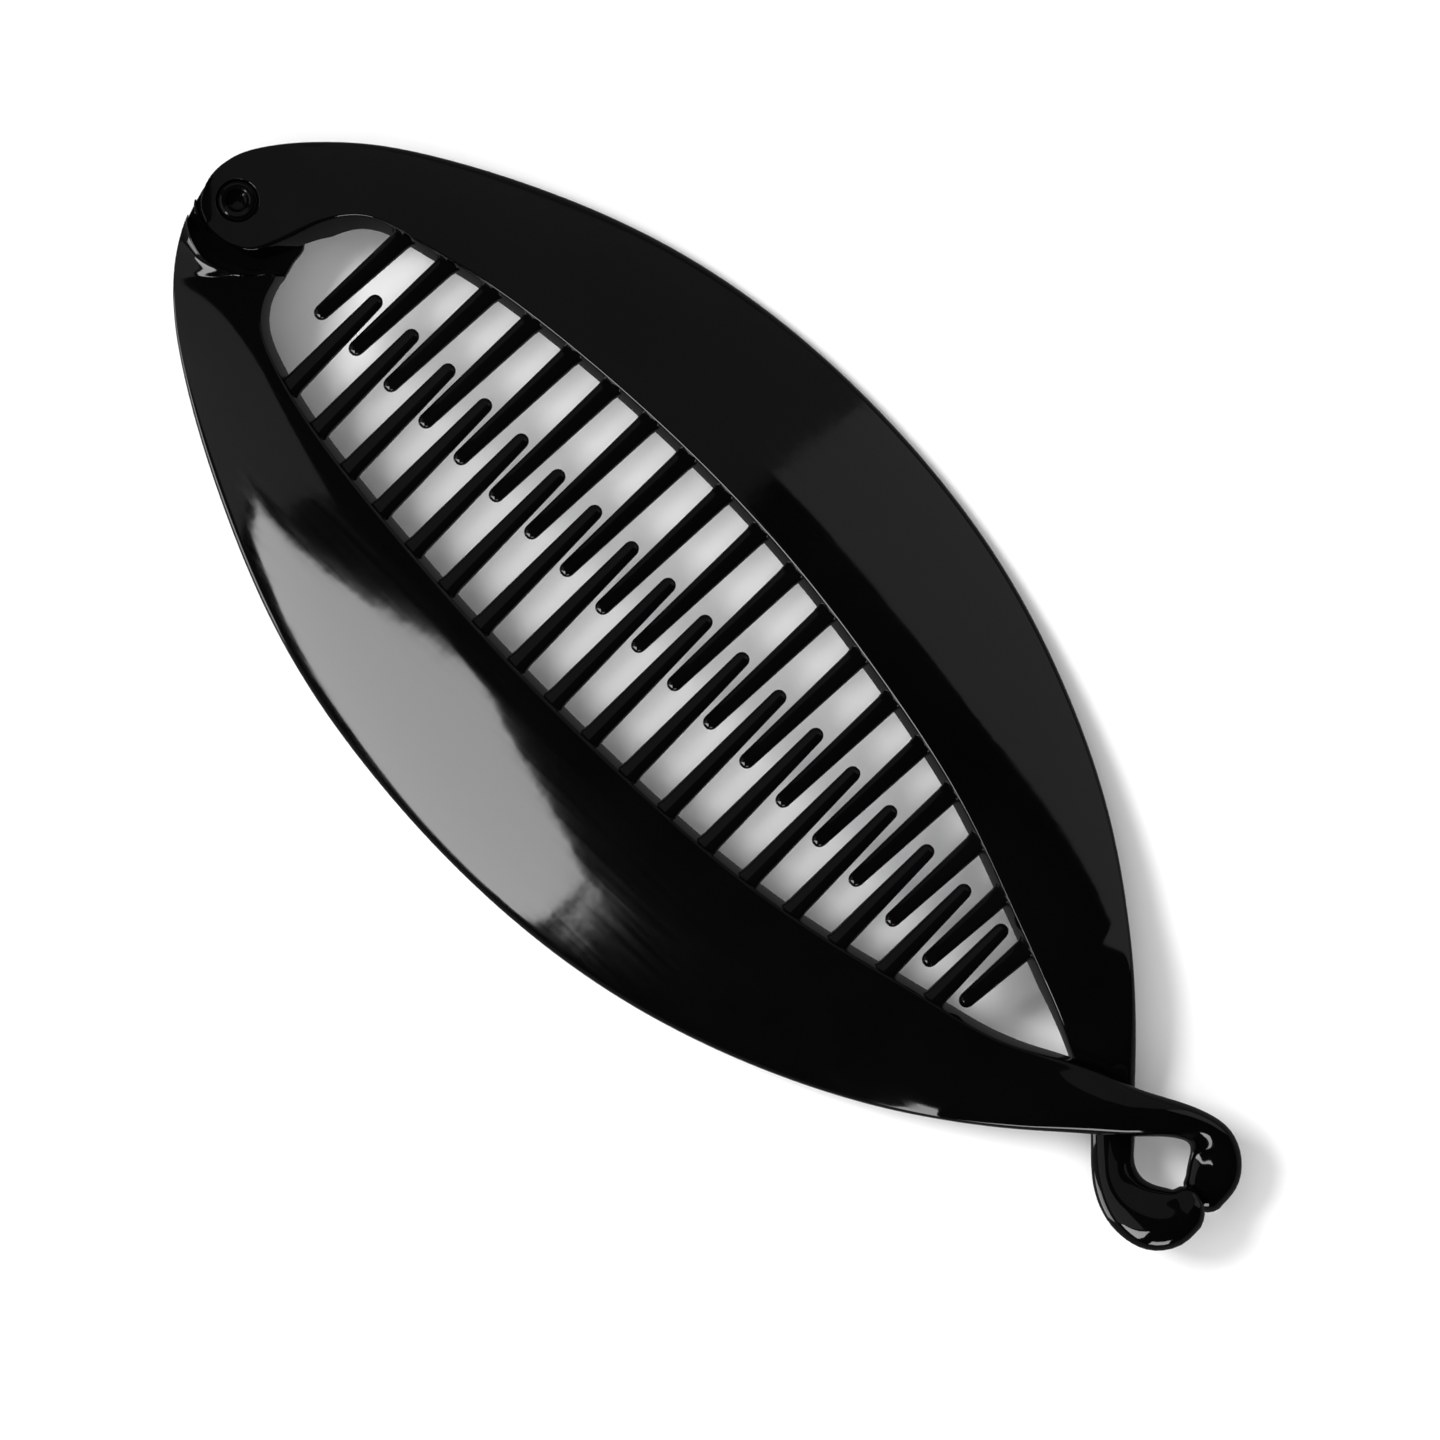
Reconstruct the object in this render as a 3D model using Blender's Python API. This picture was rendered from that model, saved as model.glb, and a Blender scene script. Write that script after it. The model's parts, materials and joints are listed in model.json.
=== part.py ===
"""Hinged comb hair clip, closed, lying on its two outer edges.

Two arched, toothed jaws turn on one upright pin at the -X end. Their hooked
tails cross and catch each other at the +X end. Lengths are in millimetres
inside the shape functions and are scaled to metres as each mesh is made.
Origin: middle of the footprint, on the surface that the clip lies on. The
pieces of the upper jaw hang on an empty that stands on the hinge's axis.
"""
import math

import bmesh
import bpy
from mathutils import Matrix, Vector

MM = 0.001
SHARP_ANGLE = 35.0

# Plastics: colour and roughness
JAW_BLACK = (0.012, 0.012, 0.013)
JAW_ROUGHNESS = 0.16
PIN_BLACK = (0.010, 0.010, 0.011)
PIN_ROUGHNESS = 0.22

# Hinge
HINGE_X = -71.0
HINGE_Y = 1.0
EYE_RADIUS = 4.0
PIN_RADIUS = 1.5
BORE_RADIUS = 1.8
PIN_HEAD_RADIUS = 2.7
PIN_HEAD_HEIGHT = 0.6
PIN_HEAD_CHAMFER = 0.6
UPPER_EYE_BOTTOM = 9.9
UPPER_EYE_TOP = 12.0
LOWER_EYE_BOTTOM = 7.2
LOWER_EYE_TOP = 9.6
FIT_GAP = 0.3
NECK_INSET = 0.6
UPPER_EYE_ARC = (165.0, 345.0)
LOWER_EYE_ARC = (10.0, 185.0)
EYE_ARC_POINTS = 19
ROUND_SIDES = 24
CUT_PAST = 1.0

# Arch of the jaws
CREST_HEIGHT = 13.0
CREST_HEIGHT_AT_ENDS = 12.3
CREST_POWER = 2.0
EDGE_RISE_AT_ENDS = 6.6
EDGE_RISE_POWER = 1.6
ARCH_MIDDLE_X = -9.0
ARCH_HALF_LENGTH = 63.0
EDGE_FLAT_HALF_LENGTH = 14.0

# Wing section
WALL = 2.0
EDGE_FACE_HEIGHT = 1.9
EDGE_FACE_SLANT = 0.25
EDGE_FOOT = 1.9
CROWN_ALONG = 0.5
CROWN_UP = 0.8
UNDER_CROWN_SHIFT = 0.6
RIM_ROUND = 0.4
RIM_DEPTH = 3.0
RIM_DRAFT = 0.9
RIM_LIP = 0.8
ARC_POINTS = 6
STEPS_PER_STATION = 3

# Teeth
UPPER_TEETH = 19
LOWER_TEETH = 18
FIRST_UPPER_TOOTH_X = -56.05
FIRST_LOWER_TOOTH_X = -53.45
TOOTH_PITCH = 5.18
TOOTH_PITCH_GROWTH = 0.029
UPPER_TOOTH_LEAN = -0.9
END_TOOTH_LEAN = -0.5
TOOTH_ROOT_HALF_WIDTH = 1.1
TOOTH_TIP_HALF_WIDTH = 0.62
TOOTH_ROOT_HALF_DEPTH = 1.2
TOOTH_TIP_HALF_DEPTH = 0.8
TOOTH_ROOT_DROP = 1.6
TOOTH_TIP_DROP = 2.4
TOOTH_WAIST = 0.55
TOOTH_NOSE = 0.94
TOOTH_NOSE_SLIM = 0.45
TOOTH_SIDES = 8

# Line of the tooth tips: y at one place, slope and bend from there
UPPER_TIPS_X = -57.0
UPPER_TIPS_Y = -1.9
UPPER_TIPS_SLOPE = -0.022
UPPER_TIPS_BEND = -0.00016
LOWER_TIPS_X = -18.0
LOWER_TIPS_Y = 4.8
LOWER_TIPS_BEND = -0.0004

# Hooks
HOOK_RADIUS = 2.2
HOOK_SIDES = 14
HOOK_STEPS_PER_POINT = 3
DOME_TURNS = (35.0, 65.0)
DOME_REACH = 0.5

# Outer edge and rim of each wing, station by station from hinge to tip
UPPER_WING = [
    ((-73.1, 7.3), (-63.9, 4.3)),
    ((-70.0, 10.9), (-63.1, 6.9)),
    ((-66.0, 14.3), (-61.2, 9.2)),
    ((-60.0, 18.7), (-57.0, 10.7)),
    ((-50.0, 24.1), (-50.0, 12.4)),
    ((-35.0, 29.7), (-35.0, 14.6)),
    ((-12.5, 32.5), (-12.5, 15.2)),
    ((5.0, 31.3), (5.0, 13.6)),
    ((20.0, 27.7), (20.0, 11.1)),
    ((35.0, 21.3), (35.0, 6.3)),
    ((45.0, 14.7), (44.6, 2.9)),
    ((52.6, 8.4), (52.0, 0.5)),
]
LOWER_WING = [
    ((-73.6, -4.4), (-62.7, -3.2)),
    ((-71.5, -7.2), (-61.9, -4.8)),
    ((-67.5, -11.5), (-60.6, -6.8)),
    ((-60.0, -17.2), (-57.0, -8.3)),
    ((-50.0, -22.8), (-49.0, -10.3)),
    ((-35.0, -28.7), (-35.0, -12.0)),
    ((-10.0, -32.5), (-10.0, -13.3)),
    ((10.0, -31.2), (10.0, -12.9)),
    ((25.0, -27.4), (25.0, -10.8)),
    ((38.0, -21.7), (38.0, -7.8)),
    ((48.0, -15.5), (48.0, -4.8)),
    ((55.0, -10.2), (55.0, -2.6)),
]

# Middle line of each hooked tail: x, y, z, half width, half height
UPPER_HOOK = [
    (53.0, 4.5, 9.2, 2.5, 1.7),
    (55.6, 3.1, 7.9, 2.4, 1.9),
    (58.2, 0.5, 5.7, HOOK_RADIUS, 2.1),
    (61.2, -3.4, 4.7, HOOK_RADIUS, HOOK_RADIUS),
    (64.4, -6.8, 5.5, HOOK_RADIUS, HOOK_RADIUS),
    (68.4, -8.4, 7.5, HOOK_RADIUS, HOOK_RADIUS),
    (71.7, -7.3, 8.9, HOOK_RADIUS, HOOK_RADIUS),
    (72.7, -5.6, 9.3, HOOK_RADIUS, HOOK_RADIUS),
    (72.6, -4.1, 9.4, HOOK_RADIUS, HOOK_RADIUS),
]
LOWER_HOOK = [
    (55.5, -6.0, 9.8, 2.8, 1.7),
    (58.3, -4.5, 10.4, 2.4, 2.1),
    (61.7, -0.9, 10.6, HOOK_RADIUS, HOOK_RADIUS),
    (65.0, 1.9, 10.1, HOOK_RADIUS, HOOK_RADIUS),
    (68.8, 2.8, 8.5, HOOK_RADIUS, HOOK_RADIUS),
    (71.8, 1.6, 7.1, HOOK_RADIUS, HOOK_RADIUS),
    (72.8, -0.3, 6.5, HOOK_RADIUS, HOOK_RADIUS),
    (72.7, -1.4, 6.3, HOOK_RADIUS, HOOK_RADIUS),
]


def clear_scene():
    for existing in list(bpy.data.objects):
        bpy.data.objects.remove(existing, do_unlink=True)


def black_plastic(name, colour, roughness):
    material = bpy.data.materials.new(name)
    material.use_nodes = True
    shader = material.node_tree.nodes["Principled BSDF"]
    shader.inputs["Base Color"].default_value = (*colour, 1.0)
    shader.inputs["Roughness"].default_value = roughness
    shader.inputs["Metallic"].default_value = 0.0
    return material


def catmull_rom(before, start, end, after, t):
    """Point at t between start and end of a smooth curve through four tuples."""
    values = []
    for a, b, c, d in zip(before, start, end, after):
        cubic = 3.0 * (b - c) + d - a
        square = 2.0 * a - 5.0 * b + 4.0 * c - d
        values.append(0.5 * (2.0 * b + (c - a) * t + square * t * t + cubic * t ** 3))
    return tuple(values)


def smooth_points(points, steps):
    """Samples of the smooth curve through points, steps to each stretch."""
    first = tuple(2.0 * p - q for p, q in zip(points[0], points[1]))
    last = tuple(2.0 * p - q for p, q in zip(points[-1], points[-2]))
    padded = [first, *points, last]
    samples = []
    for index in range(len(points) - 1):
        window = padded[index:index + 4]
        for step in range(steps):
            samples.append(catmull_rom(*window, step / steps))
    samples.append(tuple(points[-1]))
    return samples


def arch(x, half_flat, power):
    """0 over the flat middle of the arch, rising to 1 at its two ends."""
    along = max(abs(x - ARCH_MIDDLE_X) - half_flat, 0.0)
    return (along / (ARCH_HALF_LENGTH - half_flat)) ** power


def crest_z(x):
    return CREST_HEIGHT - (CREST_HEIGHT - CREST_HEIGHT_AT_ENDS) * arch(x, 0.0, CREST_POWER)


def edge_z(x):
    return EDGE_RISE_AT_ENDS * arch(x, EDGE_FLAT_HALF_LENGTH, EDGE_RISE_POWER)


def mix(a, b, share):
    return a + (b - a) * share


def bezier(start, handle, end, t):
    s = 1.0 - t
    return tuple(s * s * a + 2.0 * s * t * b + t * t * c for a, b, c in zip(start, handle, end))


def wing_profile(length, low, high):
    """Closed wing section: distance inward from the outer edge, and height."""
    shoulder = (EDGE_FACE_SLANT, low + EDGE_FACE_HEIGHT)
    crown = (CROWN_ALONG * length, mix(shoulder[1], high, CROWN_UP))
    under = (crown[0] + UNDER_CROWN_SHIFT, crown[1] - WALL)
    top_end = (length - RIM_ROUND, high)
    under_end = (length - WALL, high - WALL)
    profile = [(0.0, low)]
    for index in range(ARC_POINTS):
        profile.append(bezier(shoulder, crown, top_end, index / (ARC_POINTS - 1)))
    profile.append((length, high - RIM_ROUND))
    profile.append((length + RIM_DRAFT, high - RIM_DEPTH))
    profile.append((length - RIM_LIP, high - RIM_DEPTH))
    for index in range(ARC_POINTS):
        profile.append(bezier(under_end, under, (EDGE_FOOT, low), index / (ARC_POINTS - 1)))
    return profile


def wing_stations(wing):
    """Outer edge and rim, sampled together as (outer x, outer y, rim x, rim y)."""
    pairs = [(*outer, *rim) for outer, rim in wing]
    return smooth_points(pairs, STEPS_PER_STATION)


def wing_rings(wing):
    rings = []
    for outer_x, outer_y, rim_x, rim_y in wing_stations(wing):
        outer = Vector((outer_x, outer_y, 0.0))
        inward = Vector((rim_x, rim_y, 0.0)) - outer
        length = inward.length
        inward.normalize()
        ring = []
        for along, height in wing_profile(length, edge_z(outer_x), crest_z(rim_x)):
            ring.append(outer + inward * along + Vector((0.0, 0.0, height)))
        rings.append(ring)
    return rings


def window_y(wing, x):
    """Y of the window's edge, the foot of the drafted rim, at x."""
    feet = []
    for outer_x, outer_y, rim_x, rim_y in wing_stations(wing):
        inward = Vector((rim_x - outer_x, rim_y - outer_y)).normalized()
        feet.append((rim_x + inward.x * RIM_DRAFT, rim_y + inward.y * RIM_DRAFT))
    for (x0, y0), (x1, y1) in zip(feet, feet[1:]):
        if x0 <= x <= x1:
            return y0 + (y1 - y0) * (x - x0) / (x1 - x0)
    raise ValueError("no window edge at this x")


def add_object(name, mesh_builder, material):
    mesh = bpy.data.meshes.new(name)
    mesh_builder.transform(Matrix.Scale(MM, 4))
    bmesh.ops.recalc_face_normals(mesh_builder, faces=mesh_builder.faces)
    mesh_builder.to_mesh(mesh)
    mesh_builder.free()
    mesh.shade_smooth()
    mesh.set_sharp_from_angle(angle=math.radians(SHARP_ANGLE))
    mesh.materials.append(material)
    piece = bpy.data.objects.new(name, mesh)
    bpy.context.scene.collection.objects.link(piece)
    return piece


def loft(rings):
    """Closed body through rings with equal numbers of points."""
    builder = bmesh.new()
    rows = [[builder.verts.new(point) for point in ring] for ring in rings]
    count = len(rows[0])
    for row, following in zip(rows, rows[1:]):
        for index in range(count):
            nxt = (index + 1) % count
            builder.faces.new((row[index], row[nxt], following[nxt], following[index]))
    builder.faces.new(list(reversed(rows[0])))
    builder.faces.new(rows[-1])
    return builder


def rounded_ring(centre, side, up, half_width, half_height, sides):
    ring = []
    for index in range(sides):
        angle = 2.0 * math.pi * (index + 0.5) / sides
        across = side * (half_width * math.cos(angle))
        ring.append(centre + across + up * (half_height * math.sin(angle)))
    return ring


def make_tooth(name, root, tip, material):
    """Tapered tooth with a rounded tip, from root to tip."""
    root = Vector(root)
    tip = Vector(tip)
    along = (tip - root).normalized()
    side = along.cross(Vector((0.0, 0.0, 1.0))).normalized()
    up = side.cross(along)
    rings = []
    for part, slim in ((0.0, 1.0), (TOOTH_WAIST, 1.0), (TOOTH_NOSE, 1.0), (1.0, TOOTH_NOSE_SLIM)):
        taper = min(part / TOOTH_WAIST, 1.0)
        half_width = mix(TOOTH_ROOT_HALF_WIDTH, TOOTH_TIP_HALF_WIDTH, taper)
        half_depth = mix(TOOTH_ROOT_HALF_DEPTH, TOOTH_TIP_HALF_DEPTH, part)
        centre = root.lerp(tip, part)
        rings.append(rounded_ring(centre, side, up, half_width * slim, half_depth * slim, TOOTH_SIDES))
    add_object(name, loft(rings), material)


def tooth_x(first, index):
    return first + TOOTH_PITCH * index + TOOTH_PITCH_GROWTH * index * (index - 1) / 2.0


def upper_tip_y(x):
    """Tips of the upper teeth: just past the middle, further past it towards the tip."""
    along = x - UPPER_TIPS_X
    return UPPER_TIPS_Y + UPPER_TIPS_SLOPE * along + UPPER_TIPS_BEND * along ** 2


def lower_tip_y(x):
    """Tips of the lower teeth: an even arc past the middle, on the upper jaw's side."""
    return LOWER_TIPS_Y + LOWER_TIPS_BEND * (x - LOWER_TIPS_X) ** 2


def upper_lean(index):
    return UPPER_TOOTH_LEAN


def lower_lean(index):
    return END_TOOTH_LEAN if index == 0 else 0.0


def make_teeth(prefix, wing, first, count, towards, tip_y, lean, material):
    """Comb of a jaw. towards is the side, along Y, that its teeth point to."""
    for index in range(count):
        x = tooth_x(first, index)
        root_y = window_y(wing, x) + towards * FIT_GAP
        crest = crest_z(x)
        root = (x, root_y, crest - TOOTH_ROOT_DROP)
        tip = (x + lean(index), tip_y(x), crest - TOOTH_TIP_DROP)
        make_tooth(f"{prefix}_tooth_{index + 1:02d}", root, tip, material)


def sweep(points, material, name):
    """Rounded rod along points, with the end closed by a dome."""
    samples = smooth_points(points, HOOK_STEPS_PER_POINT)
    centres = [Vector(sample[:3]) for sample in samples]
    rings = []
    for index, sample in enumerate(samples):
        ahead = centres[min(index + 1, len(centres) - 1)]
        behind = centres[max(index - 1, 0)]
        along = (ahead - behind).normalized()
        if index == 0:
            along = Vector((1.0, 0.0, 0.0))
        side = along.cross(Vector((0.0, 0.0, 1.0))).normalized()
        up = side.cross(along)
        rings.append(rounded_ring(centres[index], side, up, sample[3], sample[4], HOOK_SIDES))
    rings.extend(dome_rings(rings[-1], centres[-1], centres[-2]))
    add_object(name, loft(rings), material)


def dome_rings(ring, centre, before):
    """Two shrinking rings that round off the end of a rod."""
    along = (centre - before).normalized()
    domes = []
    for turn in DOME_TURNS:
        shrink = math.cos(math.radians(turn))
        advance = along * (DOME_REACH * HOOK_RADIUS * math.sin(math.radians(turn)))
        domes.append([centre + (point - centre) * shrink + advance for point in ring])
    return domes


def arc(radius, start, end, count):
    """Points about the hinge's axis, from one angle in degrees to another."""
    points = []
    for index in range(count):
        angle = math.radians(start + (end - start) * index / (count - 1))
        points.append((HINGE_X + radius * math.cos(angle), HINGE_Y + radius * math.sin(angle)))
    return points


def full_circle(radius, z):
    around = arc(radius, 0.0, 360.0, ROUND_SIDES + 1)
    return [Vector((x, y, z)) for x, y in around[:-1]]


def make_eye(name, outline, bottom, top, material):
    """Flat plate with the pin's bore through it."""
    rings = [[Vector((x, y, z)) for x, y in outline] for z in (bottom, top)]
    plate = add_object(name, loft(rings), material)
    cutter_rings = [full_circle(BORE_RADIUS, z) for z in (bottom - CUT_PAST, top + CUT_PAST)]
    cutter = add_object(f"{name}_bore_cutter", loft(cutter_rings), material)
    cutter.hide_render = True
    cutter.display_type = "WIRE"
    cut = plate.modifiers.new("pin_bore", "BOOLEAN")
    cut.operation = "DIFFERENCE"
    cut.solver = "EXACT"
    cut.object = cutter


def neck_ends(wing):
    """The two ends of a wing's hinge-end section, set back by the fitting gap."""
    outer = Vector(wing[0][0])
    rim = Vector(wing[0][1])
    across = (rim - outer).normalized()
    back = Vector((across.y, -across.x))
    if back.dot(Vector((HINGE_X, HINGE_Y)) - outer) < 0.0:
        back.negate()
    return outer + across * NECK_INSET + back * FIT_GAP, rim + back * FIT_GAP


def make_hinge(upper_material, lower_material, pin_material):
    outer, rim = neck_ends(UPPER_WING)
    outline = arc(EYE_RADIUS, *UPPER_EYE_ARC, EYE_ARC_POINTS) + [tuple(rim), tuple(outer)]
    make_eye("upper_hinge_eye", outline, UPPER_EYE_BOTTOM, UPPER_EYE_TOP, upper_material)
    outer, rim = neck_ends(LOWER_WING)
    outline = arc(EYE_RADIUS, *LOWER_EYE_ARC, EYE_ARC_POINTS) + [tuple(outer), tuple(rim)]
    make_eye("lower_hinge_eye", outline, LOWER_EYE_BOTTOM, LOWER_EYE_TOP, lower_material)
    make_pin(pin_material)


def make_pin(material):
    """Rivet: shaft, chamfered head above the upper eye, set end below the lower one."""
    head_bottom = UPPER_EYE_TOP + FIT_GAP
    set_top = LOWER_EYE_BOTTOM - FIT_GAP
    half_head = PIN_HEAD_HEIGHT / 2.0
    face_radius = PIN_HEAD_RADIUS - PIN_HEAD_CHAMFER
    profile = [
        (face_radius, set_top - PIN_HEAD_HEIGHT),
        (PIN_HEAD_RADIUS, set_top - half_head),
        (PIN_HEAD_RADIUS, set_top),
        (PIN_RADIUS, set_top),
        (PIN_RADIUS, head_bottom),
        (PIN_HEAD_RADIUS, head_bottom),
        (PIN_HEAD_RADIUS, head_bottom + half_head),
        (face_radius, head_bottom + PIN_HEAD_HEIGHT),
    ]
    add_object("hinge_pin", loft([full_circle(radius, z) for radius, z in profile]), material)


def hang_upper_jaw():
    """Parents the upper jaw's pieces to an empty on the hinge's axis, which turns them."""
    axis = bpy.data.objects.new("jaw_hinge_axis", None)
    axis.location = Vector((HINGE_X, HINGE_Y, UPPER_EYE_BOTTOM)) * MM
    bpy.context.scene.collection.objects.link(axis)
    for piece in list(bpy.data.objects):
        if piece.name.startswith("upper_"):
            piece.parent = axis
            piece.matrix_parent_inverse = Matrix.Translation(-axis.location)


def main():
    clear_scene()
    upper = black_plastic("upper_jaw_plastic", JAW_BLACK, JAW_ROUGHNESS)
    lower = black_plastic("lower_jaw_plastic", JAW_BLACK, JAW_ROUGHNESS)
    pin = black_plastic("pin_plastic", PIN_BLACK, PIN_ROUGHNESS)
    add_object("upper_shell", loft(wing_rings(UPPER_WING)), upper)
    add_object("lower_shell", loft(wing_rings(LOWER_WING)), lower)
    sweep(UPPER_HOOK, upper, "upper_hook")
    sweep(LOWER_HOOK, lower, "lower_hook")
    make_teeth("upper", UPPER_WING, FIRST_UPPER_TOOTH_X, UPPER_TEETH, -1.0, upper_tip_y,
               upper_lean, upper)
    make_teeth("lower", LOWER_WING, FIRST_LOWER_TOOTH_X, LOWER_TEETH, 1.0, lower_tip_y,
               lower_lean, lower)
    make_hinge(upper, lower, pin)
    hang_upper_jaw()


main()
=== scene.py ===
"""Looks of the hinged comb hair clip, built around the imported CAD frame.

Each jaw is shown as the one glossy black moulding that it really is: a wing
lofted from the hinge lobe to the hooked tail, with its comb teeth grown from
the rim. Shape functions work in millimetres and are scaled to metres as each
mesh is made.
"""

import json
import math

import bmesh
import bpy
import numpy as np
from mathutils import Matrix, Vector


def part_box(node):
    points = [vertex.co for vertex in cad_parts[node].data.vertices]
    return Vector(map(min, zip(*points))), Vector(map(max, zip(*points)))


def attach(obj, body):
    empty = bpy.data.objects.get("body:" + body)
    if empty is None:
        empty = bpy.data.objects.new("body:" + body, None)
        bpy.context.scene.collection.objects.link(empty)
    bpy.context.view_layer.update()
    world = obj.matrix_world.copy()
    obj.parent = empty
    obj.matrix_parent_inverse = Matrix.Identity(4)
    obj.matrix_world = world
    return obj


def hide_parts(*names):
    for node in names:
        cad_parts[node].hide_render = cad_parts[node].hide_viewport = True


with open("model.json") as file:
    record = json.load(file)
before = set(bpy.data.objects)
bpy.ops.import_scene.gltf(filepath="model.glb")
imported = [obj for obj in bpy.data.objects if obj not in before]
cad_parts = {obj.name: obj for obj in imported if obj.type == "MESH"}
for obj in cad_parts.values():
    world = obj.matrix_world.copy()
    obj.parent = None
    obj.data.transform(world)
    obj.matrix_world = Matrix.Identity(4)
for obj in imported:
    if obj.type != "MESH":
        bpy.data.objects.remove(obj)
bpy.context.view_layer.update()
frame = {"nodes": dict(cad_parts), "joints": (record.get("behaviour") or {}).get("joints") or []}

MM = 0.001


def node_heights(node):
    """Bottom and top of a CAD node, in millimetres."""
    low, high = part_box(node)
    return low[2] / MM, high[2] / MM


# ---------------------------------------------------------------- places read from the frame
HINGE = np.array(frame["joints"][0]["pos_m"][:2]) / MM
PIN_BOTTOM, PIN_TOP = node_heights("hinge_pin")
LOBE_BOTTOM = node_heights("upper_hinge_eye")[0]
KNUCKLE_BOTTOM, KNUCKLE_TOP = node_heights("lower_hinge_eye")
CREST_HEIGHT = node_heights("upper_shell")[1]

# ---------------------------------------------------------------- arch of the jaws
CREST_AT_ENDS = 12.3
CREST_DROP_POWER = 2.0
EDGE_RISE_AT_ENDS = 6.6
EDGE_RISE_POWER = 1.6
EDGE_RISE_LIMIT = 1.05
ARCH_MIDDLE_X = -9.0
ARCH_HALF_LENGTH = 63.0
EDGE_FLAT_HALF_LENGTH = 14.0

# ---------------------------------------------------------------- wing section
WALL = 2.0
EDGE_FACE_HEIGHT = 2.4
EDGE_FACE_SLANT = 0.15
EDGE_FOOT = 1.9
CROWN_ALONG = 0.5
CROWN_UP = 0.76
CROWN_UP_ON_PLATE = 0.9
SHOULDER_BELOW_CREST = 0.3
CROWN_SHIFT = 0.3
LIP = 0.8
LIP_STEP = 0.02
RIM_DEPTH = 3.0
RIM_DRAFT = 0.95
CREST_RADIUS = 0.55
EDGE_RADIUS = 0.5
SHOULDER_RADIUS = 0.6
FOOT_RADIUS = 0.3
SMALL_ROUND_POINTS = 4
LARGE_ROUND_POINTS = 7
STATIONS = 300
TOP_SAMPLES = 26
UNDER_SAMPLES = 16
# Shares of the top's and the underside's curves that lie between rounded corners
TOP_SPAN = (0.06, 0.96)
UNDER_SPAN = (0.02, 0.94)

# Most that each part of the section may take of the wing's width, or of its rise
FOOT_SHARE = 0.6
LIP_SHARE = 0.3
WALL_SHARE = 0.6
DRAFT_SHARE = 0.4
RIM_DEPTH_SHARE = 0.8
# Most of a side that a rounded corner may take
CORNER_SHARE = 0.48

# Edges bent by more than this are shaded sharp
SHARP_ANGLE = math.radians(30.0)

# ---------------------------------------------------------------- hinge
LOBE_BELOW_CAD_PIN = 0.35
LOBE_TOP = PIN_TOP - LOBE_BELOW_CAD_PIN
RECESS_RADIUS = 2.1
RECESS_MOUTH_RADIUS = 2.45
RECESS_DEPTH = 1.0
BORE_RADIUS = 1.65
PIN_SHAFT_RADIUS = 1.5
PIN_CUP_RADIUS = 1.9
PIN_CUP_HOLE_RADIUS = 1.15
PIN_LIP_BELOW_LOBE = 0.25
RECESS_FLARE = 0.5
CUT_PAST = 1.0
NEAR_AXIS = 0.02
LATHE_SIDES = 72

# Distances from the hinge between which the upper jaw's flat plate fades out,
# and between which the lower jaw's tall outer face does
PLATE_REACH = (2.5, 11.0)
BLUNT_REACH = (4.0, 20.0)
BLUNTNESS = 0.45

# Plan of the lower jaw's plate under the lobe
KNUCKLE_PLAN = [
    (-74.55, 1.6), (-74.65, 0.4), (-74.4, -1.1), (-74.05, -2.3), (-73.5, -3.9), (-72.6, -5.4),
    (-70.2, -7.0), (-66.0, -6.6), (-63.4, -4.4), (-61.9, -2.2), (-62.15, -0.6), (-62.5, 0.9),
    (-62.65, 2.1), (-63.3, 2.9), (-64.9, 3.2), (-67.4, 3.35), (-70.6, 3.6), (-73.0, 3.2),
]
KNUCKLE_SIDES = 96
# Its eased edges: how far in from the plan, and from the bottom or the top
KNUCKLE_EASING = [(0.35, 0.0), (0.1, 0.12), (0.0, 0.35)]

# The lower jaw's thin lip beside the lobe: its arc is in degrees round the hinge
RIDGE_ARC = (222.0, 270.0)
RIDGE_STATIONS = 22
RIDGE_SIDES = 12
RIDGE_RADIUS = 4.42
RIDGE_HALF_THICKNESS = 0.27
RIDGE_ABOVE_KNUCKLE = 0.15
RIDGE_END_STEPS = 0.6

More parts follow.
